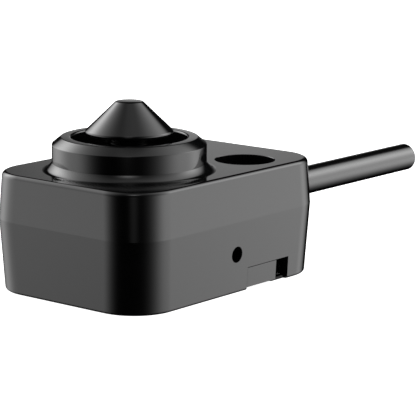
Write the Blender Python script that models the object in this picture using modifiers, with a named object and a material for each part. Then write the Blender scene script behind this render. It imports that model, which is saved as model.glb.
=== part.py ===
"""Sensor head of a cup anemometer: a moulded housing with a turning hub cone in a collar.

The head stands on its base, centred on the origin, with +X along its length towards the cable
and +Z up.  The spindle of the rotor stands upright through the collar.  Under the hub cone the
spindle runs in two ball bearings and carries a wheel with two magnets past a pulse sensor.
"""
import math

import bmesh
import bpy
from mathutils import Matrix, Vector

MM = 0.001
OBJECT_NAME = "cup_anemometer_head"

# ---- driving dimensions, in millimetres -------------------------------------------------------
HEIGHT = 24.0               # base to top face
HALF_LENGTH = 29.3          # at the top face
HALF_WIDTH = 20.6           # at the top face
CORNER_R = 9.1
PARTING_Z = 14.6            # the widest line, where the two mould halves met
DRAFT = math.tan(math.radians(3.0))
TOP_FILLET = 1.0
BASE_FILLET = 0.4
WALL = 2.0
WALL_TAPER = 0.3            # the inner faces lean in by this towards the roof
ROOF = 2.0
GAP = 0.3                   # between pieces that touch on the real object
SINK = 0.5                  # how far a joined piece reaches into the one that carries it
SEAM = 0.01                 # keeps two joined faces from lying in one plane
PASS = 1.0                  # how far a cutter runs past the face it opens

ROTOR_X = -8.7              # the spindle's axis
COLLAR_R = 15.46
COLLAR_TOP_Z = 30.64
COLLAR_CHAMFER_Z = 29.14
COLLAR_FLAT_R = 13.65
# the collar's hollow foot, from the wall down: the radius of each arc and the slopes between
# which it turns, in degrees
FOOT_ARCS = ((0.2, 0.0, 33.0), (4.6, 33.0, 45.0), (5.0, 45.0, 51.0), (1.7, 51.0, 90.0))
RECESS_R = 11.6
RECESS_FLOOR_Z = 24.8

TIP_R = 2.83
TIP_Z = 37.64
RIM_R = 8.77
RIM_Z = 31.93
NECK_R = 4.6
NECK_Z0, NECK_Z1 = 25.5, 29.0
RIM_ROUND = 0.55            # half the thickness of the cone's rounded rim
UNDERCUT = ((6.6, 30.6), (5.2, 29.9))   # radius and height, from the rim in to the neck

MAST_X, MAST_Y = 14.65, -10.9
MAST_R = 6.15               # a 12 mm rod with clearance
MAST_TUBE_R = 7.4

PORT_Z = 8.0                # small round port in the middle of the near side
PORT_R = 1.65
NOTCH_X0, NOTCH_X1 = 3.7, 17.1
NOTCH_TOP_Z = 4.75
TAB_X1 = 13.1               # the cover's tab fills the notch up to here
TAB_GAP = 0.2
TAB_PLAY = 0.35             # between the tab's back and the wall's inner face

CABLE_Z = 13.24
CABLE_R = 3.1
CABLE_OUT = 60.0            # from the end wall to the cut end
CABLE_IN_X = 20.0
CABLE_HOLE_R = CABLE_R + 1.5
GROMMET_BORE_R = CABLE_R + 0.25
CORE_R = 0.55

BEARING_BORE_R = 1.6        # 3 x 10 x 4 mm miniature ball bearings
BEARING_R = 5.0
BEARING_W = 4.0
INNER_RING_R = 2.4
OUTER_RING_BORE_R = 4.15
BALL_R = 0.75
BALL_PITCH_R = 3.27
BALLS = 7
LOWER_BEARING_Z = 7.6
UPPER_BEARING_Z = 19.3
SPINDLE_R = 1.5
SPINDLE_Z0, SPINDLE_Z1 = 3.3, 34.7
HUB_SOCKET_R = SPINDLE_R + 0.15
HUB_SOCKET_Z = 35.0
CLIP_R = 2.9
CLIP_Z0, CLIP_Z1 = 6.5, 7.1
BOSS_R = 7.2
BOSS_BASE_Z = 6.4
BEARING_SEAT_R = 5.15
BEARING_LIP_R = 4.2

COVER_Z0, COVER_Z1 = 0.35, 2.75
GASKET_Z0, GASKET_Z1 = 3.0, 3.8
LEDGE_Z0, LEDGE_Z1 = 4.05, 6.0
LEDGE_W = 2.6
COVER_SCREWS = ((-22.9, 14.2), (-22.9, -14.2), (22.9, 14.2), (23.9, -8.2))
SCREW_BOSS_R = 2.6
COVER_PILOT_R, COVER_PILOT_Z = 1.3, 12.5
COVER_HOLE_R = 1.4
COUNTERBORE_R, COUNTERBORE_Z = 2.5, 1.75
COVER_SCREW = (2.2, 1.15, 1.05, 8.0)    # head radius and height, shank radius and length
GASKET_W = 1.9
GASKET_EYE_R, GASKET_HOLE_R = 2.6, 1.5

BOARD_X0, BOARD_X1 = -1.0, 19.6
BOARD_Y0, BOARD_Y1 = -2.4, 14.4
BOARD_Z0, BOARD_Z1 = 7.0, 8.6
BOARD_SCREWS = ((2.0, 12.0), (17.5, 12.0))
BOARD_BOSS_R = 2.2
BOARD_PILOT_R, BOARD_PILOT_Z = 1.2, 15.0
BOARD_HOLE_R = 1.3
BOARD_SCREW = (2.0, 1.3, 0.95, 6.0)
SOLDER_GAP = 0.15           # between the board and what is soldered to it
CAN_R, CAN_H = 2.4, 5.85
TERMINAL_X0, TERMINAL_X1 = 12.2, 15.7
TERMINAL_Y0, TERMINAL_Y1 = -2.0, 6.4
TERMINAL_H = 3.05
MOUTH_R = 0.75
MOUTH_Z = BOARD_Z1 + 1.7
MOUTHS_Y = (-0.2, 1.8, 3.8)

WHEEL_R = 7.6
WHEEL_Z0, WHEEL_Z1 = 3.4, 5.4
WHEEL_HUB_R, WHEEL_HUB_H = 3.2, 0.7
MAGNET_PITCH_R = 5.9
MAGNET_R = 1.25

HALF_LENGTH_WIDEST = HALF_LENGTH + (HEIGHT - PARTING_Z) * DRAFT
HALF_WIDTH_WIDEST = HALF_WIDTH + (HEIGHT - PARTING_Z) * DRAFT
HALF_LENGTH_BASE = HALF_LENGTH_WIDEST - PARTING_Z * DRAFT
HALF_WIDTH_BASE = HALF_WIDTH_WIDEST - PARTING_Z * DRAFT
ROOF_Z = HEIGHT - ROOF


# ---- scene, materials and small helpers -------------------------------------------------------
def clear_scene():
    for obj in list(bpy.data.objects):
        bpy.data.objects.remove(obj, do_unlink=True)


def new_collection(name):
    collection = bpy.data.collections.new(name)
    bpy.context.scene.collection.children.link(collection)
    return collection


def material(name, color, roughness, metallic=0.0):
    mat = bpy.data.materials.new(name)
    mat.use_nodes = True
    bsdf = mat.node_tree.nodes["Principled BSDF"]
    bsdf.inputs["Base Color"].default_value = (*color, 1.0)
    bsdf.inputs["Roughness"].default_value = roughness
    bsdf.inputs["Metallic"].default_value = metallic
    return mat


clear_scene()
PARTS = new_collection(OBJECT_NAME)
CUTTERS = new_collection("cutters")

# the base colour, roughness and metallic value of each sub-part's own material
BLACK_ABS = ((0.012, 0.012, 0.013), 0.3, 0.0)
BLACK_HUB = ((0.014, 0.014, 0.015), 0.35, 0.0)
BLACK_RUBBER = ((0.015, 0.015, 0.015), 0.7, 0.0)
BLACK_PVC = ((0.018, 0.018, 0.019), 0.4, 0.0)
BLACK_NYLON = ((0.02, 0.02, 0.02), 0.5, 0.0)
STEEL = ((0.55, 0.55, 0.56), 0.25, 1.0)
ZINC = ((0.6, 0.6, 0.62), 0.35, 1.0)
BRASS = ((0.75, 0.56, 0.28), 0.3, 1.0)
WHITE_NYLON = ((0.75, 0.74, 0.7), 0.5, 0.0)
NICKEL = ((0.62, 0.6, 0.56), 0.3, 1.0)
BOARD_GREEN = ((0.02, 0.12, 0.05), 0.4, 0.0)
CHIP_BLACK = ((0.02, 0.02, 0.022), 0.55, 0.0)
CAN_SILVER = ((0.6, 0.62, 0.65), 0.3, 1.0)
CONNECTOR_CREAM = ((0.72, 0.7, 0.6), 0.5, 0.0)
CORE_RED = ((0.45, 0.02, 0.02), 0.45, 0.0)
CORE_BLACK = ((0.02, 0.02, 0.02), 0.45, 0.0)
CORE_YELLOW = ((0.6, 0.42, 0.03), 0.45, 0.0)


def add_object(name, mesh, look=None, at=(0.0, 0.0, 0.0)):
    """A part where look gives its material, or else a hidden cutter."""
    obj = bpy.data.objects.new(name, mesh)
    obj.location = Vector(at) * MM
    if look:
        PARTS.objects.link(obj)
        mesh.materials.append(material(name, *look))
    else:
        CUTTERS.objects.link(obj)
        obj.hide_render = True
        obj.display_type = "WIRE"
    return obj


def shade(mesh, angle=35.0):
    mesh.shade_smooth()
    mesh.set_sharp_from_angle(angle=math.radians(angle))


def mesh_from(bm, name):
    mesh = bpy.data.meshes.new(name)
    bmesh.ops.recalc_face_normals(bm, faces=bm.faces)
    bm.to_mesh(mesh)
    bm.free()
    shade(mesh)
    return mesh


def arc(cx, cz, radius, start, end, steps):
    """Points on an arc in the profile's plane, from start to end degrees."""
    angles = [math.radians(start + (end - start) * i / steps) for i in range(steps + 1)]
    return [(cx + radius * math.cos(a), cz + radius * math.sin(a)) for a in angles]


def turned(name, profile, steps, look=None, at=(0.0, 0.0, 0.0), closed=False):
    """A solid of revolution about Z; the profile runs down its outer side, top to bottom."""
    mesh = bpy.data.meshes.new(name)
    count = len(profile)
    edges = [(i, i + 1) for i in range(count - 1)]
    if closed:
        edges.append((count - 1, 0))
    mesh.from_pydata([(r * MM, 0.0, z * MM) for r, z in profile], edges, [])
    obj = add_object(name, mesh, look, at)
    screw = obj.modifiers.new("turn", "SCREW")
    screw.axis = "Z"
    screw.steps = steps
    screw.render_steps = steps
    screw.use_merge_vertices = True
    screw.merge_threshold = 0.00001
    screw.use_smooth_shade = True
    return obj


def ring(name, inner, outer, z0, z1, steps, look=None, at=(0.0, 0.0, 0.0)):
    profile = [(outer, z1), (outer, z0), (inner, z0), (inner, z1)]
    return turned(name, profile, steps, look, at, closed=True)


def rod(name, radius, z0, z1, steps, look=None, at=(0.0, 0.0, 0.0), chamfer=0.0):
    """A plain cylinder, with chamfered rims where chamfer is given."""
    bm = bmesh.new()
    middle = Matrix.Translation((0.0, 0.0, (z0 + z1) * 0.5 * MM))
    bmesh.ops.create_cone(bm, cap_ends=True, segments=steps, radius1=radius * MM,
                          radius2=radius * MM, depth=(z1 - z0) * MM, matrix=middle)
    if chamfer:
        rims = [e for e in bm.edges if abs(e.verts[0].co.z - e.verts[1].co.z) < 1e-7]
        bmesh.ops.bevel(bm, geom=rims, offset=chamfer * MM, segments=1, affect="EDGES")
    return add_object(name, mesh_from(bm, name), look, at)


def box_mesh(name, low, high, bevel=0.0, segments=2):
    bm = bmesh.new()
    size = [(b - a) * MM for a, b in zip(low, high)]
    centre = [(a + b) * 0.5 * MM for a, b in zip(low, high)]
    bmesh.ops.create_cube(bm, size=1.0, matrix=Matrix.LocRotScale(centre, None, size))
    if bevel:
        bmesh.ops.bevel(bm, geom=bm.edges[:], offset=bevel * MM, segments=segments,
                        profile=0.5, affect="EDGES", clamp_overlap=True)
    return mesh_from(bm, name)


def block(name, low, high, look=None, bevel=0.0, segments=2):
    return add_object(name, box_mesh(name, low, high, bevel, segments), look)


def drafted_block(name, levels, corner, look=None, steps=10, top_fillet=0.0, base_fillet=0.0):
    """A round-cornered block through levels of (half length, half width, z), bottom to top."""
    bm = bmesh.new()
    z0, z1 = levels[0][2], levels[-1][2]
    bmesh.ops.create_cube(bm, size=2.0)
    for level in levels[1:-1]:
        height = 2.0 * (level[2] - z0) / (z1 - z0) - 1.0
        geometry = bm.verts[:] + bm.edges[:] + bm.faces[:]
        bmesh.ops.bisect_plane(bm, geom=geometry, plane_co=(0, 0, height), plane_no=(0, 0, 1))
    for vert in bm.verts:
        z = z0 + (vert.co.z + 1.0) * 0.5 * (z1 - z0)
        half_x, half_y, level_z = min(levels, key=lambda item: abs(item[2] - z))
        vert.co = Vector((half_x * vert.co.x, half_y * vert.co.y, level_z)) * MM
    uprights = [e for e in bm.edges
                if abs(e.verts[0].co.z - e.verts[1].co.z) > 0.5 * MM]
    bmesh.ops.bevel(bm, geom=uprights, offset=corner * MM, segments=steps, profile=0.5,
                    affect="EDGES", clamp_overlap=True)
    for fillet, z in ((top_fillet, z1), (base_fillet, z0)):
        if not fillet:
            continue
        rim = [e for e in bm.edges if all(abs(v.co.z - z * MM) < 1e-7 for v in e.verts)
               and any(abs(f.normal.z) < 0.5 for f in e.link_faces)]
        bmesh.ops.bevel(bm, geom=rim, offset=fillet * MM, segments=3 if fillet > 0.5 else 2,
                        profile=0.5, affect="EDGES", clamp_overlap=True)
    return add_object(name, mesh_from(bm, name), look)


def boolean(obj, operation, other):
    modifier = obj.modifiers.new(other.name, "BOOLEAN")
    modifier.operation = operation
    modifier.solver = "EXACT"
    modifier.object = other


def cut(obj, *others):
    for other in others:
        boolean(obj, "DIFFERENCE", other)


def join(obj, *others):
    for other in others:
        boolean(obj, "UNION", other)


def lying(obj, axis, at):
    """Lay a piece that was turned about Z along X or Y, with its own origin at the given point."""
    turn = {"X": (0.0, math.radians(90.0), 0.0), "Y": (math.radians(90.0), 0.0, 0.0)}[axis]
    obj.rotation_euler = turn
    obj.location = Vector(at) * MM
    return obj


def tube_along(name, points, radius, look, resolution=2):
    """A round cord of one thickness through the given points, with closed ends."""
    curve = bpy.data.curves.new(name, "CURVE")
    curve.dimensions = "3D"
    curve.bevel_depth = radius * MM
    curve.bevel_resolution = resolution
    curve.use_fill_caps = True
    spline = curve.splines.new("POLY")
    spline.points.add(len(points) - 1)
    for target, point in zip(spline.points, points):
        target.co = (*[value * MM for value in point], 1.0)
    obj = bpy.data.objects.new(name, curve)
    PARTS.objects.link(obj)
    curve.materials.append(material(name, *look))
    return obj


def smooth_route(knots, count):
    """Points of a Catmull-Rom curve through the knots."""
    knots = [Vector(k) for k in knots]
    padded = [knots[0] * 2 - knots[1]] + knots + [knots[-1] * 2 - knots[-2]]
    points = []
    for i in range(count + 1):
        place = min(i / count * (len(knots) - 1), len(knots) - 1 - 1e-9)
        k = int(place)
        t = place - k
        a, b, c, d = padded[k:k + 4]
        point = 0.5 * ((2 * b) + (c - a) * t + (2 * a - 5 * b + 4 * c - d) * t * t
                       + (3 * b - a - 3 * c + d) * t ** 3)
        points.append(tuple(point))
    return points


# ---- housing ----------------------------------------------------------------------------------
def foot_points(steps):
    """Points down the collar's hollow foot, from its wall out to the top face."""
    turns = [(radius, math.radians(start), math.radians(end)) for radius, start, end in FOOT_ARCS]
    out = COLLAR_R
    up = HEIGHT - SEAM + sum(r * (math.sin(b) - math.sin(a)) for r, a, b in turns)
    points = [(out, up)]
    for radius, a, b in turns:
        for i in range(1, steps + 1):
            turn = a + (b - a) * i / steps
            points.append((out + radius * (math.cos(a) - math.cos(turn)),
                           up - radius * (math.sin(turn) - math.sin(a))))
        out, up = points[-1]
    return points


def collar_profile():
    """The collar with its chamfer and its hollow foot, sunk a little into the top face."""
    foot = foot_points(2)
    return ([(0.0, COLLAR_TOP_Z), (COLLAR_FLAT_R, COLLAR_TOP_Z), (COLLAR_R, COLLAR_CHAMFER_Z)]
            + foot + [(foot[-1][0], HEIGHT - SINK), (0.0, HEIGHT - SINK)])


def inner_wall_levels(inset, z0, z1):
    half_x = HALF_LENGTH_BASE - WALL - inset
    half_y = HALF_WIDTH_BASE - WALL - inset
    return [(half_x, half_y, z0), (half_x - WALL_TAPER, half_y - WALL_TAPER, z1)]


def build_housing():
    levels = [(HALF_LENGTH_BASE, HALF_WIDTH_BASE, 0.0),
              (HALF_LENGTH_WIDEST, HALF_WIDTH_WIDEST, PARTING_Z),
              (HALF_LENGTH, HALF_WIDTH, HEIGHT)]
    housing = drafted_block("housing", levels, CORNER_R, BLACK_ABS, 9, TOP_FILLET, BASE_FILLET)
    join(housing, turned("collar_solid", collar_profile(), 48, at=(ROTOR_X, 0.0, 0.0)))

    inner_r = CORNER_R - WALL
    cut(housing, drafted_block("cavity", inner_wall_levels(0.0, -PASS, ROOF_Z), inner_r, None, 6))

    # the ledge that the gasket seats on, open in the middle
    ledge = drafted_block("ledge", inner_wall_levels(-SINK, LEDGE_Z0, LEDGE_Z1), inner_r, None, 6)
    opening = inner_wall_levels(LEDGE_W, LEDGE_Z0 - PASS, LEDGE_Z1 + PASS)
    ledge_hole = drafted_block("ledge_hole", opening, inner_r - LEDGE_W, None, 5)
    cut(ledge, ledge_hole)
    join(housing, ledge)

    join(housing,
         rod("bearing_boss", BOSS_R, BOSS_BASE_Z, ROOF_Z + SINK, 36, at=(ROTOR_X, 0.0, 0.0)),
         rod("mast_tube", MAST_TUBE_R, COVER_Z0, ROOF_Z + SINK, 36, at=(MAST_X, MAST_Y, 0.0)))
    for i, (x, y) in enumerate(COVER_SCREWS):
        join(housing, rod(f"cover_boss_{i + 1}", SCREW_BOSS_R, LEDGE_Z0 + SEAM, ROOF_Z + SINK, 16,
                          at=(x, y, 0.0)))
    for i, (x, y) in enumerate(BOARD_SCREWS):
        join(housing, rod(f"board_boss_{i + 1}", BOARD_BOSS_R, BOARD_Z1 + GAP, ROOF_Z + SINK, 16,
                          at=(x, y, 0.0)))

    cut(housing,
        rod("recess", RECESS_R, RECESS_FLOOR_Z, COLLAR_TOP_Z + PASS, 48, at=(ROTOR_X, 0.0, 0.0)),
        rod("bearing_seat", BEARING_SEAT_R, LOWER_BEARING_Z - GAP, RECESS_FLOOR_Z + PASS, 36,
            at=(ROTOR_X, 0.0, 0.0)),
        rod("bearing_lip", BEARING_LIP_R, BOSS_BASE_Z - PASS, LOWER_BEARING_Z, 24,
            at=(ROTOR_X, 0.0, 0.0)),
        rod("mast_bore", MAST_R, -PASS, HEIGHT + PASS, 36, at=(MAST_X, MAST_Y, 0.0)))
    for i, (x, y) in enumerate(COVER_SCREWS):
        cut(housing, rod(f"cover_pilot_{i + 1}", COVER_PILOT_R, LEDGE_Z0 - PASS, COVER_PILOT_Z,
                         12, at=(x, y, 0.0)))
    for i, (x, y) in enumerate(BOARD_SCREWS):
        cut(housing, rod(f"board_pilot_{i + 1}", BOARD_PILOT_R, BOARD_Z1 - PASS, BOARD_PILOT_Z,
                         12, at=(x, y, 0.0)))

    wall_x, wall_y = HALF_LENGTH - 0.5 * WALL, -HALF_WIDTH + 0.5 * WALL
    cut(housing,
        lying(rod("side_port", PORT_R, -WALL, WALL, 20), "Y", (0.0, wall_y, PORT_Z)),
        lying(rod("cable_hole", CABLE_HOLE_R, -WALL, WALL, 24), "X", (wall_x, 0.0, CABLE_Z)),
        block("notch", (NOTCH_X0, -HALF_WIDTH - WALL, -PASS),
              (NOTCH_X1, -HALF_WIDTH_BASE + WALL + 0.2 * WALL_TAPER, NOTCH_TOP_Z)))
    return housing


# ---- base cover -------------------------------------------------------------------------------
def screw_places(name, radius, z0, z1, steps):
    return [rod(f"{name}_{i + 1}", radius, z0, z1, steps, at=(x, y, 0.0))
            for i, (x, y) in enumerate(COVER_SCREWS)]


def build_base_cover():
    """The plate that closes the base, with the tab that fills most of the notch."""
    levels = [(HALF_LENGTH_BASE - WALL - GAP, HALF_WIDTH_BASE - WALL - GAP, COVER_Z0),
              (HALF_LENGTH_BASE - WALL - GAP, HALF_WIDTH_BASE - WALL - GAP, COVER_Z1)]
    cover = drafted_block("base_cover", levels, CORNER_R - WALL - GAP, BLACK_ABS, 8)
    outer_y = -HALF_WIDTH_BASE
    tab = block("tab", (NOTCH_X0 + TAB_GAP, outer_y, COVER_Z0),
                (TAB_X1, outer_y + WALL - TAB_PLAY, NOTCH_TOP_Z - TAB_GAP))
    for vert in tab.data.vertices:
        if vert.co.y < (outer_y + SINK) * MM:
            vert.co.y -= DRAFT * vert.co.z
    root = block("tab_root", (NOTCH_X0 + TAB_GAP, outer_y + 0.5 * WALL, COVER_Z0 + SEAM),
                 (TAB_X1 - SEAM, outer_y + 2.0 * WALL, COVER_Z1 - SEAM))
    join(cover, tab, root)
    low, high = COVER_Z0 - PASS, COVER_Z1 + PASS
    cut(cover, rod("mast_clearance", MAST_TUBE_R + GAP, low, high, 36, at=(MAST_X, MAST_Y, 0.0)))
    cut(cover, *screw_places("cover_hole", COVER_HOLE_R, low, high, 12))
    cut(cover, *screw_places("cover_counterbore", COUNTERBORE_R, low, COUNTERBORE_Z, 16))
    cut(cover, block("pry_pocket", (TAB_X1, -HALF_WIDTH, low),
                     (NOTCH_X1, -HALF_WIDTH + 2.0 * WALL, high)))
    return cover


def build_cover_gasket():
    """A flat rubber seal with an eye at each screw and a loop round the mast tube."""
    half_x, half_y = HALF_LENGTH_BASE - WALL - SINK, HALF_WIDTH_BASE - WALL - SINK
    corner = CORNER_R - WALL - SINK
    outer = [(half_x, half_y, z) for z in (GASKET_Z0, GASKET_Z1)]
    inner = [(half_x - GASKET_W, half_y - GASKET_W, z)
             for z in (GASKET_Z0 - PASS, GASKET_Z1 + PASS)]
    gasket = drafted_block("cover_gasket", outer, corner, BLACK_RUBBER, 8)
    cut(gasket, drafted_block("gasket_middle", inner, corner - GASKET_W, None, 6))
    low, high = GASKET_Z0 + SEAM, GASKET_Z1 - SEAM
    join(gasket, *screw_places("gasket_eye", GASKET_EYE_R, low, high, 16))
    join(gasket, rod("gasket_loop", MAST_TUBE_R + 1.7, low + SEAM, high - SEAM, 36,
                     at=(MAST_X, MAST_Y, 0.0)))
    low, high = GASKET_Z0 - PASS, GASKET_Z1 + PASS
    cut(gasket, block("gasket_trim", (-HALF_LENGTH, -HALF_WIDTH - BOSS_R, low),
                      (HALF_LENGTH, -half_y + SINK * 0.2, high)))
    cut(gasket, rod("gasket_mast", MAST_TUBE_R + GAP, low, high, 36, at=(MAST_X, MAST_Y, 0.0)))
    cut(gasket, *screw_places("gasket_hole", GASKET_HOLE_R, low, high, 12))
    return gasket


def build_screw(name, at, head_r, head_h, shank_r, length, look=ZINC):
    """A pan-head screw driven from below: the head at the bottom with a cross recess."""
    x, y, z = at
    profile = [(0.0, head_h + length), (shank_r * 0.55, head_h + length),
               (shank_r, head_h + length - shank_r), (shank_r, head_h),
               (head_r, head_h), (head_r, head_h * 0.35), (head_r * 0.8, 0.0), (0.0, 0.0)]
    screw = turned(name, profile, 12, look, at)
    arm, slot = head_r * 0.62, head_r * 0.16
    for suffix, half_x, half_y in (("along", arm, slot), ("across", slot, arm)):
        cut(screw, block(f"{name}_{suffix}", (x - half_x, y - half_y, z - 1.0),
                         (x + half_x, y + half_y, z + head_h * 0.6)))
    return screw


# ---- rotor ------------------------------------------------------------------------------------
def build_hub_cone():
    """The bare cone of the hub: flat tip, straight flank, rounded rim and undercut neck."""
    rim = arc(RIM_R - RIM_ROUND, RIM_Z - 0.35, RIM_ROUND, 45.0, -80.0, 4)
    profile = ([(0.0, TIP_Z), (TIP_R - 0.15, TIP_Z), (TIP_R + 0.05, TIP_Z - 0.15)] + rim
               + [*UNDERCUT, (NECK_R, NECK_Z1), (NECK_R, NECK_Z0),
                  (HUB_SOCKET_R, NECK_Z0), (HUB_SOCKET_R, HUB_SOCKET_Z), (0.0, HUB_SOCKET_Z)])
    return turned("hub_cone", profile, 48, BLACK_HUB, (ROTOR_X, 0.0, 0.0))


def build_bearing(side, z0):
    at = (ROTOR_X, 0.0, 0.0)
    z1 = z0 + BEARING_W
    middle = (z0 + z1) * 0.5
    chamfer = 0.25
    outer = [(BEARING_R - chamfer, z1), (BEARING_R, z1 - chamfer), (BEARING_R, z0 + chamfer),
             (BEARING_R - chamfer, z0), (OUTER_RING_BORE_R, z0), (OUTER_RING_BORE_R, z1)]
    turned(f"{side}_bearing_outer_ring", outer, 24, STEEL, at, closed=True)
    ring(f"{side}_bearing_inner_ring", BEARING_BORE_R, INNER_RING_R, z0, z1, 24, STEEL, at)
    cage = ring(f"{side}_bearing_cage", BALL_PITCH_R - 0.25, BALL_PITCH_R + 0.3,
                middle - 1.35, middle + 1.35, 24, BRASS, at)
    for i in range(BALLS):
        turn = 2.0 * math.pi * i / BALLS
        place = (ROTOR_X + BALL_PITCH_R * math.cos(turn), BALL_PITCH_R * math.sin(turn), middle)
        bm = bmesh.new()
        bmesh.ops.create_icosphere(bm, subdivisions=1, radius=(BALL_R + 0.3) * MM)
        cut(cage, add_object(f"{side}_pocket_{i + 1}", mesh_from(bm, "pocket"), None, place))
        bm = bmesh.new()
        bmesh.ops.create_icosphere(bm, subdivisions=2, radius=BALL_R * MM)
        ball = mesh_from(bm, "ball")
        ball.shade_smooth()
        add_object(f"{side}_bearing_ball_{i + 1}", ball, STEEL, place)


def build_spindle_stack():
    at = (ROTOR_X, 0.0, 0.0)
    rod("spindle", SPINDLE_R, SPINDLE_Z0, SPINDLE_Z1, 24, STEEL, at, chamfer=0.2)
    build_bearing("lower", LOWER_BEARING_Z)
    build_bearing("upper", UPPER_BEARING_Z)
    between = (LOWER_BEARING_Z + BEARING_W + GAP, UPPER_BEARING_Z - GAP)
    ring("bearing_spacer", 3.9, BEARING_R, *between, 24, WHITE_NYLON, at)
    ring("inner_ring_spacer", BEARING_BORE_R, 2.3, *between, 24, BRASS, at)

    # a lip seal over the upper bearing: a stiff ring that thins to a lip at the spindle
    top = UPPER_BEARING_Z + BEARING_W + GAP
    lip = [(4.6, top + 1.5), (BEARING_R, top + 1.3), (BEARING_R, top), (3.2, top),
           (SPINDLE_R + 0.2, top + 0.5), (SPINDLE_R + 0.15, top + 0.8), (3.0, top + 0.7),
           (3.6, top + 1.5)]
    turned("shaft_seal", lip, 24, BLACK_RUBBER, at, closed=True)

    clip = ring("retaining_clip", SPINDLE_R + 0.1, CLIP_R, CLIP_Z0, CLIP_Z1, 24, ZINC, at)
    cut(clip, block("clip_mouth", (ROTOR_X, -1.1, CLIP_Z0 - PASS),
                    (ROTOR_X + CLIP_R + PASS, 1.1, CLIP_Z1 + PASS)))


def build_magnet_wheel():
    at = (ROTOR_X, 0.0, 0.0)
    wheel = turned("magnet_wheel",
                   [(WHEEL_HUB_R - 0.2, WHEEL_Z1 + WHEEL_HUB_H), (WHEEL_HUB_R, WHEEL_Z1),
                    (WHEEL_R - 0.3, WHEEL_Z1),
                    (WHEEL_R, WHEEL_Z1 - 0.3), (WHEEL_R, WHEEL_Z0 + 0.3),
                    (WHEEL_R - 0.3, WHEEL_Z0), (SPINDLE_R + 0.1, WHEEL_Z0),
                    (SPINDLE_R + 0.1, WHEEL_Z1 + WHEEL_HUB_H)], 36, WHITE_NYLON, at,
                   closed=True)
    for i, side in enumerate((1.0, -1.0)):
        place = (ROTOR_X + side * MAGNET_PITCH_R, 0.0, 0.0)
        cut(wheel, rod(f"magnet_pocket_{i + 1}", MAGNET_R + 0.1, WHEEL_Z0 - PASS,
                       WHEEL_Z1 - 0.4, 16, at=place))
        rod(f"magnet_{i + 1}", MAGNET_R, WHEEL_Z0, WHEEL_Z1 - 0.5, 16, NICKEL, place, 0.1)


# ---- sensor board -----------------------------------------------------------------------------
def build_board():
    board = block("circuit_board", (BOARD_X0, BOARD_Y0, BOARD_Z0), (BOARD_X1, BOARD_Y1, BOARD_Z1),
                  BOARD_GREEN)
    head_h = BOARD_SCREW[1]
    for i, (x, y) in enumerate(BOARD_SCREWS):
        cut(board, rod(f"board_hole_{i + 1}", BOARD_HOLE_R, BOARD_Z0 - PASS, BOARD_Z1 + PASS, 16,
                       at=(x, y, 0.0)))
        build_screw(f"board_screw_{i + 1}", (x, y, BOARD_Z0 - 0.2 - head_h), *BOARD_SCREW)
    under, over = BOARD_Z0 - SOLDER_GAP, BOARD_Z1 + SOLDER_GAP
    block("pulse_sensor", (-0.6, 1.0, 3.9), (1.0, 5.0, under), CHIP_BLACK, 0.15, 1)
    block("signal_chip", (7.0, 3.0, under - 1.5), (12.0, 7.0, under), CHIP_BLACK, 0.12, 1)
    rod("capacitor", CAN_R, over, over + CAN_H, 24, CAN_SILVER, (9.0, 8.6, 0.0), 0.3)
    terminal = block("wire_terminal", (TERMINAL_X0, TERMINAL_Y0, over),
                     (TERMINAL_X1, TERMINAL_Y1, over + TERMINAL_H), CONNECTOR_CREAM, 0.15, 1)
    for i, y in enumerate(MOUTHS_Y):
        mouth = rod(f"terminal_mouth_{i + 1}", MOUTH_R, -2.0 * MOUTH_R, 2.0 * MOUTH_R, 12)
        cut(terminal, lying(mouth, "X", (TERMINAL_X1, y, MOUTH_Z)))


# ---- cable ------------------------------------------------------------------------------------
def build_cable():
    """The round cable through its grommet, tied inside, with three cores to the terminal."""
    end_wall = HALF_LENGTH_WIDEST - (PARTING_Z - CABLE_Z) * DRAFT
    bore, hole = GROMMET_BORE_R, CABLE_HOLE_R
    inner_wall = HALF_LENGTH_BASE - WALL
    # the grommet's profile about the cable, written along X from its outer end to its inner end
    outline = [(bore, end_wall + 6.0), (bore + 0.9, end_wall + 6.0), (bore + 1.6, end_wall + 2.2),
               (bore + 2.7, end_wall + 1.8), (bore + 2.7, end_wall + 0.3),
               (hole - 0.2, end_wall + 0.3), (hole - 0.2, inner_wall - 0.5),
               (bore + 2.2, inner_wall - 0.5), (bore + 2.0, inner_wall - 1.7),
               (bore, inner_wall - 1.7)]
    grommet = turned("cable_grommet", outline, 24, BLACK_RUBBER, closed=True)
    lying(grommet, "X", (0.0, 0.0, CABLE_Z))

    spacing = CABLE_R * 4.0
    cut_end = end_wall + CABLE_OUT
    count = math.ceil((cut_end - CABLE_IN_X) / spacing)
    points = [(CABLE_IN_X + (cut_end - CABLE_IN_X) * i / count, 0.0, CABLE_Z)
              for i in range(count + 1)]
    tube_along("cable_jacket", points, CABLE_R, BLACK_PVC, 4)

    tie_x = inner_wall - 4.2
    tie = ring("cable_tie", bore, bore + 1.0, -1.2, 1.2, 24, BLACK_NYLON)
    lying(tie, "X", (tie_x, 0.0, CABLE_Z))
    join(tie, block("tie_head", (tie_x - 1.9, -2.2, CABLE_Z + CABLE_R + 0.6),
                    (tie_x + 1.9, 2.2, CABLE_Z + CABLE_R + 3.2), bevel=0.3))

    looks = (("red", CORE_RED), ("black", CORE_BLACK), ("yellow", CORE_YELLOW))
    for i, ((colour, look), y) in enumerate(zip(looks, MOUTHS_Y)):
        start = (CABLE_IN_X - GAP, (i - 1) * 1.4, CABLE_Z + (0.7 if i == 1 else -0.6))
        knots = (start, (CABLE_IN_X - 1.6, (i - 1) * 1.5, start[2] - 0.4),
                 (TERMINAL_X1 + 1.5, (y + start[1]) * 0.5, MOUTH_Z + 0.5),
                 (TERMINAL_X1 + 0.5, y, MOUTH_Z), (TERMINAL_X1 - 0.5, y, MOUTH_Z))
        tube_along(f"core_{colour}", smooth_route(knots, 9), CORE_R, look)


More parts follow.
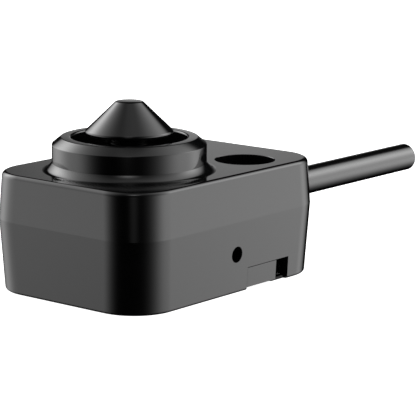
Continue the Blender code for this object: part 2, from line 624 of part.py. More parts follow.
def build_all():
    build_housing()
    build_base_cover()
    build_cover_gasket()
    for i, (x, y) in enumerate(COVER_SCREWS):
        build_screw(f"cover_screw_{i + 1}", (x, y, COVER_Z0 + 0.1), *COVER_SCREW)
    build_hub_cone()
    build_spindle_stack()
    build_magnet_wheel()
    build_board()
    build_cable()


build_all()
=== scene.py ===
"""The looks of the sensor head of a cup anemometer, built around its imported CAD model."""
import math

import bmesh
import bpy
from mathutils import Matrix, Vector


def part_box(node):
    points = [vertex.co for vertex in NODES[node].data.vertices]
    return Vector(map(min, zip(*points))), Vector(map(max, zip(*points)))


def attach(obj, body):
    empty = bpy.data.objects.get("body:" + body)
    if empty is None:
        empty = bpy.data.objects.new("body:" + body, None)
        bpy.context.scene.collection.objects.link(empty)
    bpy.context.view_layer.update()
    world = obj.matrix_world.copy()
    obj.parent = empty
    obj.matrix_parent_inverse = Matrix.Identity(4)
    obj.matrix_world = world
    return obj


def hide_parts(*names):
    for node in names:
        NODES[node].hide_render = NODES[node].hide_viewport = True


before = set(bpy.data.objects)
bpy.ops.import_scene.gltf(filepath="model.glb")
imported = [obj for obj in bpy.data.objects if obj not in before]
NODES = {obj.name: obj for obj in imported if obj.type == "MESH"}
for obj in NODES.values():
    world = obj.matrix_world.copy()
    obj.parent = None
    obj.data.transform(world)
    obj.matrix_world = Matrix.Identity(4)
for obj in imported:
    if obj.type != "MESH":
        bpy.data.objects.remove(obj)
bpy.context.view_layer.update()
MM = 0.001

# ---- sizes in millimetres, from the frame where a node's box gives them -----------------------
housing_low, housing_high = (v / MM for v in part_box("housing"))
hub_low, hub_high = (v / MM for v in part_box("hub_cone"))
cover_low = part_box("base_cover")[0] / MM
cable_low, cable_high = (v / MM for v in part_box("cable_jacket"))
grommet_low, grommet_high = (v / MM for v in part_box("cable_grommet"))

HALF_LENGTH_WIDEST = (housing_high.x - housing_low.x) / 2
HALF_WIDTH_WIDEST = (housing_high.y - housing_low.y) / 2
HEIGHT = 24.0
PARTING_Z = 14.6
DRAFT = math.tan(math.radians(3.0))
HALF_LENGTH = HALF_LENGTH_WIDEST - (HEIGHT - PARTING_Z) * DRAFT
HALF_WIDTH = HALF_WIDTH_WIDEST - (HEIGHT - PARTING_Z) * DRAFT
HALF_LENGTH_BASE = HALF_LENGTH_WIDEST - PARTING_Z * DRAFT
HALF_WIDTH_BASE = HALF_WIDTH_WIDEST - PARTING_Z * DRAFT
CORNER_R = 9.1
TOP_FILLET = 1.0
BASE_FILLET = 0.55
WALL = 2.0
ROOF_Z = HEIGHT - 2.0

ROTOR_X = (hub_low.x + hub_high.x) / 2
COLLAR_TOP_Z = housing_high.z
COLLAR_R = 15.46
COLLAR_CHAMFER_Z = 29.14
COLLAR_FLAT_R = 13.65
FOOT_ARCS = ((0.2, 0.0, 33.0), (4.6, 33.0, 45.0), (5.0, 45.0, 51.0), (1.7, 51.0, 90.0))
RECESS_R = 11.6
MOUTH_ROUND = 0.4
RECESS_FLOOR_Z = 24.8
BEARING_SEAT_R = 5.15
BEARING_SEAT_Z = 7.3
BOSS_R, BOSS_BASE_Z = 7.2, 6.4

MAST_X, MAST_Y = 14.65, -10.9
MAST_R, MAST_TUBE_R = 6.15, 7.4
PORT_Z, PORT_R = 8.0, 1.65
NOTCH_X0, NOTCH_X1 = 3.7, 17.1
NOTCH_TOP_Z = 4.75
TAB_X1 = 13.1
TAB_RISE, TAB_GAP = 0.22, 0.12
PRY_DEPTH = 0.9
LIP_Z0, LIP_RISE, LIP_LEAN, LIP_GAP = 0.04, 0.4, 0.3, 0.1
LEDGE_Z0, LEDGE_Z1, LEDGE_W = 4.05, 6.0, 2.6
COVER_Z0, COVER_Z1 = cover_low.z, 2.75
GAP = 0.3
SCREW_BOSS_R = 2.6
COVER_SCREWS = [f"cover_screw_{i}" for i in (1, 2, 3, 4)]
BOARD_SCREWS = [f"board_screw_{i}" for i in (1, 2)]

CABLE_Z = (cable_low.z + cable_high.z) / 2
CABLE_R = (cable_high.z - cable_low.z) / 2


# ---- mesh helpers -----------------------------------------------------------------------------
def centre(node):
    low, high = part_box(node)
    return (low + high) / 2 / MM


def add_object(name, mesh, at=(0.0, 0.0, 0.0)):
    obj = bpy.data.objects.new(name, mesh)
    obj.location = Vector(at) * MM
    bpy.context.scene.collection.objects.link(obj)
    return obj


def finish_mesh(bm, name):
    mesh = bpy.data.meshes.new(name)
    bmesh.ops.recalc_face_normals(bm, faces=bm.faces)
    bm.to_mesh(mesh)
    bm.free()
    return mesh


def arc(cx, cz, radius, start, end, steps):
    angles = [math.radians(start + (end - start) * i / steps) for i in range(steps + 1)]
    return [(cx + radius * math.cos(a), cz + radius * math.sin(a)) for a in angles]


def turned(name, profile, steps, at=(0.0, 0.0, 0.0), closed=False, lie=None):
    """A solid turned about Z, or about X where lie is "X" and Y where it is "Y"."""
    bm = bmesh.new()
    verts = [bm.verts.new((r * MM, 0.0, z * MM)) for r, z in profile]
    edges = [bm.edges.new(pair) for pair in zip(verts, verts[1:])]
    if closed:
        edges.append(bm.edges.new((verts[-1], verts[0])))
    bmesh.ops.spin(bm, geom=verts + edges, cent=(0, 0, 0), axis=(0, 0, 1), steps=steps,
                   angle=2 * math.pi, use_merge=True)
    bmesh.ops.remove_doubles(bm, verts=bm.verts, dist=1e-7)
    if lie:
        turn = Matrix.Rotation(math.radians(90.0), 3, "Y" if lie == "X" else "X")
        bmesh.ops.rotate(bm, verts=bm.verts, cent=(0, 0, 0), matrix=turn)
    return add_object(name, finish_mesh(bm, name), at)


def block(name, low, high, bevel=0.0, segments=3):
    bm = bmesh.new()
    size = [(b - a) * MM for a, b in zip(low, high)]
    middle = [(a + b) * 0.5 * MM for a, b in zip(low, high)]
    bmesh.ops.create_cube(bm, size=1.0, matrix=Matrix.LocRotScale(middle, None, size))
    if bevel:
        bmesh.ops.bevel(bm, geom=bm.edges[:], offset=bevel * MM, segments=segments,
                        profile=0.5, affect="EDGES", clamp_overlap=True)
    return add_object(name, finish_mesh(bm, name))


def round_rect(half_x, half_y, corner, steps):
    """The points of a rounded rectangle, anticlockwise, with steps to each corner."""
    points = []
    for quarter, (side_x, side_y) in enumerate(((1, 1), (-1, 1), (-1, -1), (1, -1))):
        for i in range(steps + 1):
            turn = math.radians(90.0 * (quarter + i / steps))
            points.append((side_x * (half_x - corner) + corner * math.cos(turn),
                           side_y * (half_y - corner) + corner * math.sin(turn)))
    return points


def lofted(name, levels, steps=24, at=(0.0, 0.0, 0.0)):
    """A round-cornered solid through levels of (half x, half y, corner, z), bottom to top."""
    bm = bmesh.new()
    rings = [[bm.verts.new((x * MM, y * MM, level[3] * MM))
              for x, y in round_rect(*level[:3], steps)] for level in levels]
    count = len(rings[0])
    for lower, upper in zip(rings, rings[1:]):
        for i in range(count):
            j = (i + 1) % count
            bm.faces.new((lower[i], lower[j], upper[j], upper[i]))
    bm.faces.new(rings[0][::-1])
    bm.faces.new(rings[-1])
    return add_object(name, finish_mesh(bm, name), at)


def straight_block(name, half_x, half_y, corner, z0, z1, steps=12, taper=0.0):
    return lofted(name, [(half_x, half_y, corner, z0),
                         (half_x - taper, half_y - taper, corner, z1)], steps)


def rod(name, radius, z0, z1, steps=64, at=(0.0, 0.0, 0.0), lie=None):
    profile = [(0.0, z1), (radius, z1), (radius, z0), (0.0, z0)]
    return turned(name, profile, steps, at, lie=lie)


def combine(obj, operation, others):
    """Boolean each of the other objects into obj, and remove them."""
    for other in others:
        modifier = obj.modifiers.new("combine", "BOOLEAN")
        modifier.operation = operation
        modifier.solver = "EXACT"
        modifier.object = other
        depsgraph = bpy.context.evaluated_depsgraph_get()
        mesh = bpy.data.meshes.new_from_object(obj.evaluated_get(depsgraph))
        obj.modifiers.clear()
        obj.data = mesh
        bpy.data.objects.remove(other)
    return obj


def cut(obj, *others):
    return combine(obj, "DIFFERENCE", others)


def join(obj, *others):
    return combine(obj, "UNION", others)


def shade(obj, angle=32.0):
    """Smooth shading that keeps flat faces flat and edges past the angle sharp."""
    bm = bmesh.new()
    bm.from_mesh(obj.data)
    bmesh.ops.remove_doubles(bm, verts=bm.verts, dist=2e-7)
    bmesh.ops.dissolve_degenerate(bm, edges=bm.edges, dist=1e-7)
    bm.to_mesh(obj.data)
    bm.free()
    obj.data.shade_smooth()
    obj.data.set_sharp_from_angle(angle=math.radians(angle))
    weighted = obj.modifiers.new("flat faces", "WEIGHTED_NORMAL")
    weighted.keep_sharp = True
    weighted.mode = "FACE_AREA_WITH_ANGLE"
    return obj


# ---- materials --------------------------------------------------------------------------------
def new_material(name):
    material = bpy.data.materials.new(name)
    material.use_nodes = True
    nodes = material.node_tree.nodes
    return material, nodes, material.node_tree.links, nodes["Principled BSDF"]


def noise(nodes, links, scale, detail=4.0, roughness=0.55, stretch=(1.0, 1.0, 1.0)):
    coordinates = nodes.new("ShaderNodeTexCoord")
    mapping = nodes.new("ShaderNodeMapping")
    mapping.inputs["Scale"].default_value = stretch
    links.new(coordinates.outputs["Object"], mapping.inputs["Vector"])
    texture = nodes.new("ShaderNodeTexNoise")
    texture.inputs["Scale"].default_value = scale
    texture.inputs["Detail"].default_value = detail
    texture.inputs["Roughness"].default_value = roughness
    links.new(mapping.outputs["Vector"], texture.inputs["Vector"])
    return texture.outputs["Fac"]


def ramp(nodes, links, source, low, high, start=0.3, end=0.7):
    """A colour or a grey that runs from low to high as the source runs from start to end."""
    node = nodes.new("ShaderNodeValToRGB")
    for element, place, value in zip(node.color_ramp.elements, (start, end), (low, high)):
        element.position = place
        grey = not hasattr(value, "__len__")
        element.color = (value, value, value, 1.0) if grey else (*value, 1.0)
    links.new(source, node.inputs["Fac"])
    return node.outputs["Color"]


def bump(nodes, links, height, strength, distance):
    node = nodes.new("ShaderNodeBump")
    node.inputs["Strength"].default_value = strength
    node.inputs["Distance"].default_value = distance
    links.new(height, node.inputs["Height"])
    return node.outputs["Normal"]


def moulded(name, dark, light, rough_low, rough_high, grain=0.00001, ior=1.5, scale=4500.0):
    """Moulded plastic: fine spark-eroded grain, a faintly uneven colour and uneven gloss."""
    material, nodes, links, bsdf = new_material(name)
    cloud = noise(nodes, links, 160.0, 3.0)
    links.new(ramp(nodes, links, cloud, dark, light), bsdf.inputs["Base Color"])
    patches = noise(nodes, links, 420.0, 5.0)
    links.new(ramp(nodes, links, patches, rough_low, rough_high), bsdf.inputs["Roughness"])
    normal = bump(nodes, links, noise(nodes, links, scale, 2.0), 0.35, grain)
    links.new(normal, bsdf.inputs["Normal"])
    bsdf.inputs["IOR"].default_value = ior
    return material


def metal(name, color, rough_low, rough_high, stretch=(1.0, 1.0, 1.0), scale=900.0,
          depth=0.00002):
    """Machined or drawn metal: fine lines along the turning direction and small stains."""
    material, nodes, links, bsdf = new_material(name)
    stain = noise(nodes, links, 250.0, 4.0)
    darker = tuple(value * 0.82 for value in color)
    links.new(ramp(nodes, links, stain, darker, color), bsdf.inputs["Base Color"])
    bsdf.inputs["Metallic"].default_value = 1.0
    lines = noise(nodes, links, scale, 3.0, stretch=stretch)
    links.new(ramp(nodes, links, lines, rough_low, rough_high), bsdf.inputs["Roughness"])
    links.new(bump(nodes, links, lines, 0.3, depth), bsdf.inputs["Normal"])
    return material


BLACK_ABS = moulded("moulded_abs", (0.002, 0.002, 0.0021), (0.003, 0.003, 0.0031), 0.08, 0.12,
                    grain=0.0000004)
BLACK_HUB = moulded("moulded_acetal", (0.002, 0.002, 0.0021), (0.003, 0.003, 0.0032), 0.07, 0.1,
                    grain=0.0000006)
BLACK_PVC = moulded("cable_pvc", (0.002, 0.002, 0.0021), (0.003, 0.003, 0.0031), 0.12, 0.16,
                    grain=0.0000006, ior=1.6)
BLACK_RUBBER = moulded("black_rubber", (0.008, 0.008, 0.008), (0.013, 0.013, 0.013), 0.5, 0.62,
                       grain=0.00003, scale=2600.0)
BLACK_NYLON = moulded("black_nylon", (0.01, 0.01, 0.01), (0.016, 0.016, 0.016), 0.38, 0.48)
WHITE_NYLON = moulded("white_nylon", (0.66, 0.65, 0.6), (0.76, 0.75, 0.7), 0.4, 0.5)
BOARD_GREEN = moulded("solder_mask", (0.012, 0.09, 0.035), (0.02, 0.13, 0.05), 0.25, 0.38,
                      grain=0.00003, scale=1500.0)
CHIP_EPOXY = moulded("chip_epoxy", (0.014, 0.014, 0.015), (0.024, 0.024, 0.025), 0.5, 0.62,
                     grain=0.00002)
CREAM_NYLON = moulded("cream_nylon", (0.6, 0.57, 0.46), (0.7, 0.67, 0.56), 0.38, 0.48)
CORE_RED = moulded("core_red_pvc", (0.36, 0.012, 0.012), (0.46, 0.02, 0.018), 0.34, 0.44)
CORE_BLACK = moulded("core_black_pvc", (0.012, 0.012, 0.012), (0.02, 0.02, 0.02), 0.34, 0.44)
CORE_YELLOW = moulded("core_yellow_pvc", (0.55, 0.36, 0.02), (0.66, 0.46, 0.03), 0.34, 0.44)
STEEL = metal("bearing_steel", (0.6, 0.6, 0.61), 0.12, 0.24, stretch=(1.0, 1.0, 8.0))
ZINC = metal("zinc_plate", (0.62, 0.63, 0.66), 0.24, 0.4)
BRASS = metal("brass", (0.78, 0.57, 0.27), 0.2, 0.34, stretch=(1.0, 1.0, 6.0))
NICKEL = metal("nickel_plate", (0.66, 0.63, 0.58), 0.16, 0.3)
CAN = metal("drawn_can", (0.66, 0.68, 0.7), 0.2, 0.34, stretch=(6.0, 6.0, 1.0))


def crease(obj, z):
    """Keep the edges that lie at height z sharp."""
    mesh = obj.data
    sharp = mesh.attributes.get("sharp_edge")
    sharp = sharp or mesh.attributes.new("sharp_edge", "BOOLEAN", "EDGE")
    for edge in mesh.edges:
        if all(abs(mesh.vertices[v].co.z - z * MM) < 0.002 * MM for v in edge.vertices):
            sharp.data[edge.index].value = True


def paint(obj, material):
    obj.data.materials.clear()
    obj.data.materials.append(material)
    return obj


def place(obj, material, node, body="head"):
    """Finish a piece that stands for a CAD node of its own."""
    shade(obj)
    paint(obj, material)
    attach(obj, body)
    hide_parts(node)
    return obj


# ---- housing ----------------------------------------------------------------------------------
def inner_block(name, inset, z0, z1, taper=0.0):
    """A solid that stands inset from the inner face of the walls."""
    return straight_block(name, HALF_LENGTH_BASE - WALL - inset, HALF_WIDTH_BASE - WALL - inset,
                          CORNER_R - WALL - max(inset, 0.0), z0, z1, 12, taper)


def outer_block():
    """The outside: two drafts that meet at the parting line, and rounded rims."""
    slope = math.atan(DRAFT)
    levels = []
    for i in range(9):
        turn = -math.pi / 2 + (math.pi / 2 - slope) * i / 8
        out = BASE_FILLET * (DRAFT - 1 / math.cos(slope) + math.cos(turn))
        levels.append((HALF_LENGTH_BASE + out, HALF_WIDTH_BASE + out, CORNER_R + out,
                       BASE_FILLET * (1 + math.sin(turn))))
    levels.append((HALF_LENGTH_WIDEST, HALF_WIDTH_WIDEST, CORNER_R, PARTING_Z))
    for i in range(13):
        turn = slope + (math.pi / 2 - slope) * i / 12
        out = TOP_FILLET * (DRAFT - 1 / math.cos(slope) + math.cos(turn))
        levels.append((HALF_LENGTH + out, HALF_WIDTH + out, CORNER_R + out,
                       HEIGHT - TOP_FILLET * (1 - math.sin(turn))))
    return lofted("housing_shell", levels, 32)


def foot_points(steps):
    """Down the hollow foot of the collar: arcs of a radius between two slopes in degrees."""
    turns = [(radius, math.radians(start), math.radians(end)) for radius, start, end in FOOT_ARCS]
    out, up = COLLAR_R, HEIGHT + sum(r * (math.sin(b) - math.sin(a)) for r, a, b in turns)
    points = [(out, up)]
    for radius, a, b in turns:
        for i in range(1, steps + 1):
            turn = a + (b - a) * i / steps
            points.append((out + radius * (math.cos(a) - math.cos(turn)),
                           up - radius * (math.sin(turn) - math.sin(a))))
        out, up = points[-1]
    return points


def collar_profile():
    """The collar with its broken edges and its hollow foot, sunk into the top face."""
    edge = 0.12
    foot = [(out, up - 0.005) for out, up in foot_points(8)]
    return ([(0.0, COLLAR_TOP_Z), (COLLAR_FLAT_R - edge, COLLAR_TOP_Z),
             (COLLAR_FLAT_R + edge * 0.8, COLLAR_TOP_Z - edge * 0.6),
             (COLLAR_R - edge * 0.6, COLLAR_CHAMFER_Z + edge * 0.6),
             (COLLAR_R, COLLAR_CHAMFER_Z - edge)]
            + foot + [(foot[-1][0], HEIGHT - 1.0), (0.0, HEIGHT - 1.0)])


def bore_profile(radius, z0, z1, low_break=0.0, high_break=0.0):
    """A cutter for a round hole whose mouths at z0 and z1 have broken edges."""
    return [(0.0, z1 + 1.0), (radius + high_break, z1 + 1.0), (radius + high_break, z1),
            (radius, z1 - high_break - 0.001), (radius, z0 + low_break + 0.001),
            (radius + low_break, z0), (radius + low_break, z0 - 1.0), (0.0, z0 - 1.0)]


def recess_profile():
    """A cutter for the recess in the collar: its mouth is rounded over."""
    mouth = arc(RECESS_R + MOUTH_ROUND, COLLAR_TOP_Z - MOUTH_ROUND, MOUTH_ROUND, 92.0, 180.0, 10)
    return ([(0.0, COLLAR_TOP_Z + 1.0), (mouth[0][0], COLLAR_TOP_Z + 1.0)] + mouth
            + [(RECESS_R, RECESS_FLOOR_Z), (0.0, RECESS_FLOOR_Z)])


def build_housing():
    rotor = (ROTOR_X, 0.0, 0.0)
    mast = (MAST_X, MAST_Y, 0.0)
    shell = outer_block()
    join(shell, turned("collar", collar_profile(), 144, rotor))
    cut(shell, inner_block("cavity", 0.0, -1.0, ROOF_Z, 0.3))
    ledge = inner_block("ledge", -0.5, LEDGE_Z0, LEDGE_Z1)
    cut(ledge, inner_block("hole", LEDGE_W, LEDGE_Z0 - 1.0, LEDGE_Z1 + 1.0))
    join(shell, ledge)
    join(shell, rod("boss", BOSS_R, BOSS_BASE_Z, HEIGHT - 0.5, 72, rotor),
         rod("mast_tube", MAST_TUBE_R, COVER_Z0, HEIGHT - 0.5, 96, mast))
    for node in COVER_SCREWS:
        join(shell, rod("boss", SCREW_BOSS_R, LEDGE_Z0 + 0.02, HEIGHT - 0.6, 32,
                        (centre(node).x, centre(node).y, 0.0)))
    for node in BOARD_SCREWS:
        join(shell, rod("boss", 2.2, 8.9, HEIGHT - 0.7, 32,
                        (centre(node).x, centre(node).y, 0.0)))
    cut(shell,
        turned("recess", recess_profile(), 144, rotor),
        turned("seat", bore_profile(BEARING_SEAT_R, BEARING_SEAT_Z + 1.0, RECESS_FLOOR_Z,
                                    high_break=0.2), 72, rotor),
        rod("lip", 4.2, BOSS_BASE_Z - 1.0, BEARING_SEAT_Z + 0.3, 72, rotor),
        turned("mast_bore", bore_profile(MAST_R, COVER_Z0, HEIGHT, 0.3, 0.08), 96, mast))
    for node in COVER_SCREWS:
        cut(shell, rod("pilot", 1.3, 1.0, 12.5, 24, (centre(node).x, centre(node).y, 0.0)))
    for node in BOARD_SCREWS:
        cut(shell, rod("pilot", 1.2, 7.0, 15.0, 24, (centre(node).x, centre(node).y, 0.0)))
    cut(shell,
        rod("port", PORT_R, -3.0, 3.0, 48, (0.0, -HALF_WIDTH + 0.8, PORT_Z), "Y"),
        rod("cable_hole", CABLE_R + 1.5, -4.0, 4.0, 64, (HALF_LENGTH - 1.0, 0.0, CABLE_Z), "X"),
        block("notch", (NOTCH_X0, -HALF_WIDTH - 2.0, -1.0),
              (NOTCH_X1, -HALF_WIDTH_BASE + WALL + 0.05, NOTCH_TOP_Z)))
    place(shell, BLACK_ABS, "housing")
    crease(shell, PARTING_Z)


# ---- base cover and its screws ----------------------------------------------------------------
def build_cover():
    """The plate that closes the base, with its tab and the low lip beside it in the notch."""
    half_x = HALF_LENGTH_BASE - WALL - GAP
    half_y = HALF_WIDTH_BASE - WALL - GAP
    corner, chamfer = CORNER_R - WALL - GAP, 0.2
    cover = lofted("cover_plate", [(half_x - chamfer, half_y - chamfer, corner - chamfer, COVER_Z0),
                                   (half_x, half_y, corner, COVER_Z0 + chamfer),
                                   (half_x, half_y, corner, COVER_Z1)], 16)
    outer_y = -HALF_WIDTH_BASE
    lean = DRAFT * NOTCH_TOP_Z
    tab = block("tab", (NOTCH_X0 + 0.03, outer_y, COVER_Z0 + TAB_RISE),
                (TAB_X1, outer_y + WALL - 0.35, NOTCH_TOP_Z - TAB_GAP), 0.05, 2)
    for vert in tab.data.vertices:
        if vert.co.y < (outer_y + 0.5) * MM:
            vert.co.y -= lean * MM * (vert.co.z / MM) / NOTCH_TOP_Z
    root = block("tab_root", (NOTCH_X0 + 0.05, outer_y + PRY_DEPTH, COVER_Z0 + 0.02),
                 (TAB_X1 - 0.02, outer_y + WALL + 2.0, COVER_Z1 - 0.1))
    lip = block("pry_lip", (TAB_X1 - 0.3, outer_y + PRY_DEPTH, LIP_Z0),
                (NOTCH_X1 - LIP_GAP, outer_y + WALL + 1.5, COVER_Z0 + LIP_RISE))
    for vert in lip.data.vertices:
        if vert.co.z > COVER_Z0 * MM and vert.co.y < (outer_y + WALL) * MM:
            vert.co.y -= LIP_LEAN * MM
    join(cover, tab, root, lip)
    cut(cover, turned("mast_hole", bore_profile(MAST_TUBE_R + GAP, COVER_Z0, COVER_Z1, 0.15), 96,
                      (MAST_X, MAST_Y, 0.0)))
    for node in COVER_SCREWS:
        at = (centre(node).x, centre(node).y, 0.0)
        cut(cover, rod("hole", 1.4, -1.0, 4.0, 32, at),
            turned("counterbore", bore_profile(2.5, COVER_Z0, 0.75, 0.15), 48, at))
    return place(cover, BLACK_ABS, "base_cover")


def build_screw(node, piece, head_r, head_h, shank_r):
    """A pan-head screw driven from below, with a domed head, a cross recess and a thread."""
    low, high = (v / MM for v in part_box(node))
    x, y = centre(node).x, centre(node).y
    dome = [(head_r * math.sin(math.radians(a)),
             low.z + head_h * 0.45 * (1 - math.cos(math.radians(a)))) for a in range(90, -1, -10)]
    pitch = shank_r * 0.75
    top = high.z
    profile = [(0.0, top), (shank_r * 0.5, top), (shank_r * 0.8, top - shank_r)]
    z = top - shank_r - 0.05
    while z - pitch > low.z + head_h + 0.2:
        profile += [(shank_r * 0.78, z), (shank_r, z - pitch * 0.5)]
        z -= pitch
    profile += [(shank_r * 0.78, z), (shank_r * 0.78, low.z + head_h), (head_r, low.z + head_h)]
    profile += dome
    screw = turned(piece, profile, 48, (x, y, 0.0))
    arm, slot = head_r * 0.62, head_r * 0.15
    for half_x, half_y in ((arm, slot), (slot, arm)):
        cut(screw, block("slot", (x - half_x, y - half_y, low.z - 1.0),
                         (x + half_x, y + half_y, low.z + head_h * 0.6)))
    return place(screw, ZINC, node)


# ---- rotor ------------------------------------------------------------------------------------
def build_hub():
    tip_r, tip_z = 2.83, hub_high.z
    rim_r, rim_z = 8.77, 31.93
    neck_r, base_z = 4.6, hub_low.z
    rim = arc(rim_r - 0.55, rim_z - 0.35, 0.55, 45.0, -80.0, 14)
    profile = ([(0.0, tip_z), (tip_r - 0.15, tip_z), (tip_r - 0.05, tip_z - 0.03),
                (tip_r + 0.05, tip_z - 0.13)] + rim
               + [(6.6, 30.6), (5.8, 30.25), (5.2, 29.9), (4.8, 29.5), (neck_r, 29.0),
                  (neck_r, base_z + 0.15), (neck_r - 0.15, base_z), (1.65, base_z),
                  (1.65, 35.0), (0.0, 35.0)])
    hub = turned("hub_shell", profile, 144, (ROTOR_X, 0.0, 0.0))
    return place(hub, BLACK_HUB, "hub_cone", "rotor")


# ---- cable ------------------------------------------------------------------------------------
def build_cable():
    """The cable's jacket as a tube, its cut end showing the filler and three cores."""
    start, end = cable_low.x, cable_high.x
    steps, wall, round_r = 48, 0.85, 0.12
    profile = ([(0.0, start)] + [(CABLE_R - 0.1, start), (CABLE_R, start + 0.1)]
               + [(CABLE_R, start + (end - start) * i / 24) for i in range(1, 24)]
               + arc(CABLE_R - round_r, end - round_r, round_r, 0.0, 90.0, 4)
               + [(CABLE_R - wall, end), (CABLE_R - wall, end - 1.2), (0.0, end - 1.2)])
    jacket = turned("cable_tube", profile[::-1], steps, (0.0, 0.0, CABLE_Z), lie="X")
    place(jacket, BLACK_PVC, "cable_jacket")
    cores = []
    for i, (colour, material) in enumerate((("red", CORE_RED), ("black", CORE_BLACK),
                                            ("yellow", CORE_YELLOW))):
        turn = math.radians(90.0 + 120.0 * i)
        y, z = 1.15 * math.cos(turn), CABLE_Z + 1.15 * math.sin(turn)
        ring = [(0.3, end - 0.25), (0.85, end - 0.25), (0.93, end - 0.33), (0.93, end - 1.15),
                (0.3, end - 1.15)]
        core = turned(f"core_end_{colour}", ring, 32, (0.0, y, z), closed=True, lie="X")
        shade(core)
        paint(core, material)
        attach(core, "head")
        strand = [(0.0, end - 0.2), (0.22, end - 0.2), (0.28, end - 0.3), (0.28, end - 1.15),
                  (0.0, end - 1.15)]
        copper = turned(f"core_strand_{colour}", strand, 24, (0.0, y, z), lie="X")
        shade(copper)
        paint(copper, BRASS)
        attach(copper, "head")
        cores += [core, copper]


def build_grommet():
    """The rubber grommet: a short ribbed boot outside, a flange, and a flange inside."""
    bore = CABLE_R + 0.25
    tip, inside = grommet_high.x, grommet_low.x
    wall = HALF_LENGTH_WIDEST - (PARTING_Z - CABLE_Z) * DRAFT
    hole = CABLE_R + 1.5
    inner_wall = HALF_LENGTH_BASE - WALL
    profile = [(bore, tip), (bore + 0.75, tip), (bore + 0.9, tip - 0.15)]
    z, radius = tip - 0.15, bore + 0.9
    for _ in range(3):
        profile += [(radius + 0.12, z - 0.75), (radius - 0.2, z - 0.85), (radius - 0.2, z - 1.1),
                    (radius + 0.17, z - 1.2)]
        radius += 0.17
        z -= 1.2
    profile += [(bore + 1.6, wall + 1.9), (bore + 2.5, wall + 1.8), (bore + 2.7, wall + 1.6),
                (bore + 2.7, wall + 0.5), (bore + 2.5, wall + 0.3), (hole - 0.2, wall + 0.3),
                (hole - 0.2, inner_wall - 0.5), (bore + 2.2, inner_wall - 0.5),
                (bore + 2.0, inside), (bore, inside)]
    grommet = turned("cable_boot", profile, 64, (0.0, 0.0, CABLE_Z), closed=True, lie="X")
    return place(grommet, BLACK_RUBBER, "cable_grommet")


# ---- pieces that keep their CAD shape ---------------------------------------------------------
def paint_inner_pieces():
    looks = {"cover_gasket": BLACK_RUBBER, "shaft_seal": BLACK_RUBBER, "cable_tie": BLACK_NYLON,
             "spindle": STEEL, "bearing_spacer": WHITE_NYLON, "inner_ring_spacer": BRASS,
             "retaining_clip": ZINC, "magnet_wheel": WHITE_NYLON, "magnet_1": NICKEL,
             "magnet_2": NICKEL, "circuit_board": BOARD_GREEN, "pulse_sensor": CHIP_EPOXY,
             "signal_chip": CHIP_EPOXY, "capacitor": CAN, "wire_terminal": CREAM_NYLON,
             "core_red": CORE_RED, "core_black": CORE_BLACK, "core_yellow": CORE_YELLOW,
             "board_screw_1": ZINC, "board_screw_2": ZINC}
    for name, node in NODES.items():
        look = looks.get(name)
        if "bearing_ball" in name or name.endswith("_ring"):
            look = STEEL
        if name.endswith("_cage"):
            look = BRASS
        if look:
            node.data.materials.clear()
            node.data.materials.append(look)


# ---- camera, floor and lights -----------------------------------------------------------------
def build_camera():
    """The camera looks at the head from its near corner, a little from above."""
    data = bpy.data.cameras.new("camera")
    data.sensor_width = 36.0
    data.lens = 178.745
    camera = bpy.data.objects.new("camera", data)
    bpy.context.scene.collection.objects.link(camera)
    azimuth, elevation, roll = math.radians(50.803), math.radians(-11.540), math.radians(0.344)
    look = Vector((math.sin(azimuth) * math.cos(elevation),
                   math.cos(azimuth) * math.cos(elevation), math.sin(elevation)))
    target = Vector((6.424, -7.959, 14.747)) * MM
    camera.location = target - look * 420.63 * MM
    turn = look.to_track_quat("-Z", "Y").to_matrix() @ Matrix.Rotation(roll, 3, "Z")
    camera.rotation_euler = turn.to_euler()
    bpy.context.scene.camera = camera


def build_floor():
    """A plain white sweep that stays white right up to the object, as in a studio cut-out."""
    bm = bmesh.new()
    bmesh.ops.create_grid(bm, x_segments=1, y_segments=1, size=4.0)
    floor = add_object("floor", finish_mesh(bm, "floor"))
    material, nodes, links, bsdf = new_material("floor_paper")
    tone = noise(nodes, links, 3.0, 2.0)
    links.new(ramp(nodes, links, tone, (0.86, 0.86, 0.86), (0.9, 0.9, 0.9)),
              bsdf.inputs["Base Color"])
    bsdf.inputs["Roughness"].default_value = 0.9
    bsdf.inputs["Specular IOR Level"].default_value = 0.1
    bsdf.inputs["Emission Color"].default_value = (1.0, 1.0, 1.0, 1.0)
    bsdf.inputs["Emission Strength"].default_value = 1.0
    paint(floor, material)
    floor.visible_glossy = floor.visible_diffuse = floor.visible_shadow = False


# Soft panels round the object, each made of spots: compass side (0 is +Y, 90 is +X), height
# in degrees, how tight the spot is, and how bright its middle is. The values were fitted by a
# separate program and partly adjusted by hand.
RIGHT_PANEL = [(150.0, -0.5, 8.8, 3.15), (115.0, -10.0, 19.5, 1.95), (116.0, 25.7, 24.4, 3.0),
               (121.0, 44.7, 8.4, 1.9)]
LEFT_PANEL = [(336.4, 34.2, 8.3, 2.14), (6.4, 29.5, 23.1, 3.28), (309.4, -8.0, 17.2, 1.45),
              (349.4, 1.4, 8.4, 2.31)]
SMALL_PANELS = [(200.0, 85.0, 5.0, 0.09), (232.0, 84.0, 40.0, 0.45), (231.5, 3.5, 66.0, 0.28),
                (51.2, 6.5, 140.0, 0.58), (232.0, 58.0, 75.0, 1.95)]
# The edge of each side panel that faces the back: its compass side, which side of it is lit
# and how softly it falls off.
RIGHT_EDGE = (81.5, 90.0, 0.19)
LEFT_EDGE = (31.0, -90.0, 0.1)


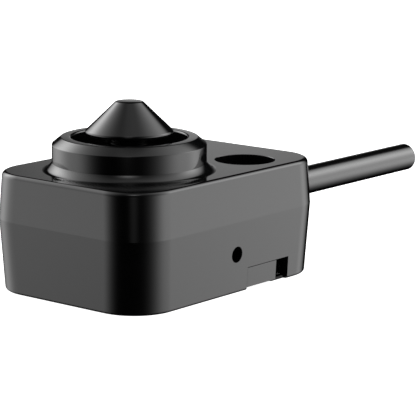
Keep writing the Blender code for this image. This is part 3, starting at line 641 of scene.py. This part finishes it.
def build_lights():
    """A studio of soft panels: a broad one at each side of the object and a weak one above."""
    world = bpy.data.worlds.new("studio")
    bpy.context.scene.world = world
    world.use_nodes = True
    nodes, links = world.node_tree.nodes, world.node_tree.links
    background = nodes["Background"]
    direction = nodes.new("ShaderNodeTexCoord").outputs["Generated"]

    def math_node(operation, first, second):
        node = nodes.new("ShaderNodeMath")
        node.operation = operation
        for socket, value in zip(node.inputs, (first, second)):
            if hasattr(value, "is_output"):
                links.new(value, socket)
            elif value is not None:
                socket.default_value = value
        return node.outputs[0]

    def towards(side, height):
        a, e = math.radians(side), math.radians(height)
        node = nodes.new("ShaderNodeVectorMath")
        node.operation = "DOT_PRODUCT"
        links.new(direction, node.inputs[0])
        node.inputs[1].default_value = (math.sin(a) * math.cos(e), math.cos(a) * math.cos(e),
                                        math.sin(e))
        return node.outputs["Value"]

    def panel(spots, edge=None):
        total = None
        for side, height, tightness, strength in spots:
            away = math_node("SUBTRACT", towards(side, height), 1.0)
            spot = math_node("EXPONENT", math_node("MULTIPLY", away, tightness), None)
            spot = math_node("MULTIPLY", spot, strength)
            total = spot if total is None else math_node("ADD", total, spot)
        if edge:
            fade = nodes.new("ShaderNodeMapRange")
            fade.interpolation_type = "SMOOTHSTEP"
            fade.inputs["From Max"].default_value = edge[2]
            links.new(towards(edge[0] + edge[1], 0.0), fade.inputs["Value"])
            total = math_node("MULTIPLY", total, fade.outputs["Result"])
        return total

    total = math_node("ADD", panel(RIGHT_PANEL, RIGHT_EDGE), panel(LEFT_PANEL, LEFT_EDGE))
    total = math_node("ADD", total, panel(SMALL_PANELS))
    seen = nodes.new("ShaderNodeLightPath").outputs["Is Camera Ray"]
    links.new(math_node("ADD", total, math_node("MULTIPLY", seen, 20.0)),
              background.inputs["Strength"])
    background.inputs["Color"].default_value = (1.0, 1.0, 1.0, 1.0)
    bpy.context.scene.view_settings.view_transform = "Standard"


build_housing()
build_cover()
for screw_node in COVER_SCREWS:
    build_screw(screw_node, screw_node.replace("screw", "screw_head"), 2.2, 1.15, 1.05)
build_hub()
GROMMET = build_grommet()
build_cable()
paint_inner_pieces()
build_camera()
build_floor()
build_lights()
